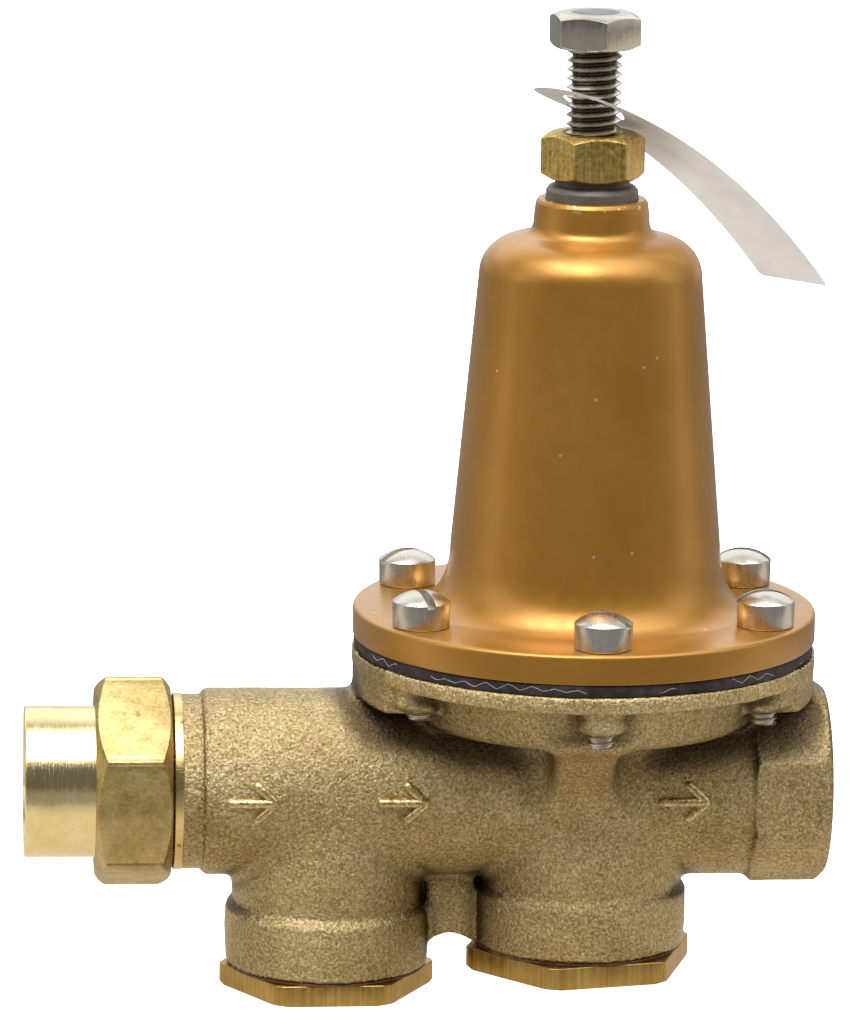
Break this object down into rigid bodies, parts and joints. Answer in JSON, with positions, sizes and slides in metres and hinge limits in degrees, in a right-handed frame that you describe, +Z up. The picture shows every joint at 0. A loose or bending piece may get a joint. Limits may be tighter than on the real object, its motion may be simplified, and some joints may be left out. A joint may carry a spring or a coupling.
{
  "type": "pressure reducing valve",
  "caption": "Direct-acting water pressure reducing valve: bronze body with built-in strainer, union solder inlet, threaded outlet, bell spring cage and top adjusting screw.",
  "frame": {"origin": "centre of the outlet port's end face, on the flow axis", "axes": "+X along the flow, out of the outlet; +Z up along the bonnet axis; +Y by the right-hand rule"},
  "size_m": [0.1408, 0.0812, 0.1727],
  "materials": {
    "cast_bronze": "sand-cast, fine sparkling grain, satin",
    "cage_paint": "satin metallic gold-brown paint with fine specks",
    "stainless": "turned, semi-bright",
    "screw_steel": "rolled thread, semi-bright",
    "diaphragm_rubber": "matt, fabric cord showing at the cut edge",
    "seal_rubber": "matt",
    "plated_steel": "zinc plated",
    "spring_steel": "drawn wire",
    "screen_steel": "perforated sheet",
    "small_brass": "turned",
    "plug_brass": "forged and turned, darkened, with vertical tool marks",
    "union_brass": "machined, bright",
    "lock_nut_brass": "machined, slightly tarnished",
    "grey_plastic": "moulded, satin",
    "tag_aluminium": "rolled thin sheet, matt"
  },
  "bodies": {
    "housing": {"valve_body": "cast_bronze", "spring_cage": "cage_paint", "cage_screws": "stainless", "diaphragm": "diaphragm_rubber", "stem_guide": "small_brass", "valve_seat": "stainless", "disc_spring": "spring_steel", "main_spring": "spring_steel", "union_gasket": "seal_rubber"},
    "stem_assembly": {"valve_stem": "stainless", "diaphragm_plate": "plated_steel", "diaphragm_washer": "plated_steel", "diaphragm_nut": "small_brass", "disc_holder": "small_brass", "seat_disc": "seal_rubber", "disc_nut": "small_brass"},
    "spring_button": {"spring_button": "plated_steel"},
    "adjusting_screw": {"adjusting_screw": "screw_steel"},
    "seal_ring": {"seal_ring": "grey_plastic"},
    "lock_nut": {"lock_nut": "lock_nut_brass"},
    "data_tag": {"data_tag": "tag_aluminium"},
    "inlet_tailpiece": {"inlet_tailpiece": "union_brass"},
    "union_nut": {"union_nut": "union_brass"},
    "strainer": {"strainer_screen": "screen_steel", "strainer_plug_gasket": "seal_rubber"},
    "strainer_plug": {"strainer_plug": "plug_brass"},
    "bottom_gasket": {"bottom_plug_gasket": "seal_rubber"},
    "bottom_plug": {"bottom_plug": "plug_brass"}
  },
  "joints": [
    {"name": "stem_lift", "type": "slide", "parent": "housing", "child": "stem_assembly", "axis": [0, 0, 1], "range_m": [0, 0.003], "stiffness_N_per_m": 2000, "springref_m": -0.004, "deforming": ["diaphragm", "disc_spring"]},
    {"name": "screw_lift", "type": "slide", "parent": "housing", "child": "spring_button", "axis": [0, 0, 1], "range_m": [-0.00395, 0.0038], "deforming": ["main_spring"]},
    {"name": "screw_turn", "type": "hinge", "parent": "spring_button", "child": "adjusting_screw", "pos_m": [-0.0429, 0, 0.13], "axis": [0, 0, 1], "range_deg": [-900, 864]},
    {"name": "lock_nut_lift", "type": "slide", "parent": "housing", "child": "seal_ring", "axis": [0, 0, 1], "range_m": [0, 0.00079]},
    {"name": "lock_nut_turn", "type": "hinge", "parent": "seal_ring", "child": "lock_nut", "pos_m": [-0.0429, 0, 0.1112], "axis": [0, 0, 1], "range_deg": [0, 180]},
    {"name": "tag_swing", "type": "hinge", "parent": "seal_ring", "child": "data_tag", "pos_m": [-0.0429, 0, 0.12], "axis": [0, 0, 1], "continuous": true},
    {"name": "tailpiece_slide", "type": "slide", "parent": "housing", "child": "inlet_tailpiece", "axis": [-1, 0, 0], "range_m": [0, 0.011]},
    {"name": "union_nut_turn", "type": "hinge", "parent": "inlet_tailpiece", "child": "union_nut", "pos_m": [-0.122, 0, 0], "axis": [-1, 0, 0], "range_deg": [0, 1800]},
    {"name": "strainer_drop", "type": "slide", "parent": "housing", "child": "strainer", "axis": [0, 0, -1], "range_m": [0, 0.0095]},
    {"name": "strainer_plug_turn", "type": "hinge", "parent": "strainer", "child": "strainer_plug", "pos_m": [-0.0874, 0, -0.033], "axis": [0, 0, -1], "range_deg": [0, 2160]},
    {"name": "bottom_plug_drop", "type": "slide", "parent": "housing", "child": "bottom_gasket", "axis": [0, 0, -1], "range_m": [0, 0.0095]},
    {"name": "bottom_plug_turn", "type": "hinge", "parent": "bottom_gasket", "child": "bottom_plug", "pos_m": [-0.0429, 0, -0.03], "axis": [0, 0, -1], "range_deg": [0, 2160]}
  ],
  "couplings": [
    {"joint": "screw_turn", "follows": "screw_lift", "rad_per_m": 3957.9},
    {"joint": "lock_nut_turn", "follows": "lock_nut_lift", "rad_per_m": 3957.9},
    {"joint": "union_nut_turn", "follows": "tailpiece_slide", "rad_per_m": 2844.7},
    {"joint": "strainer_plug_turn", "follows": "strainer_drop", "rad_per_m": 3957.9},
    {"joint": "bottom_plug_turn", "follows": "bottom_plug_drop", "rad_per_m": 3957.9}
  ]
}
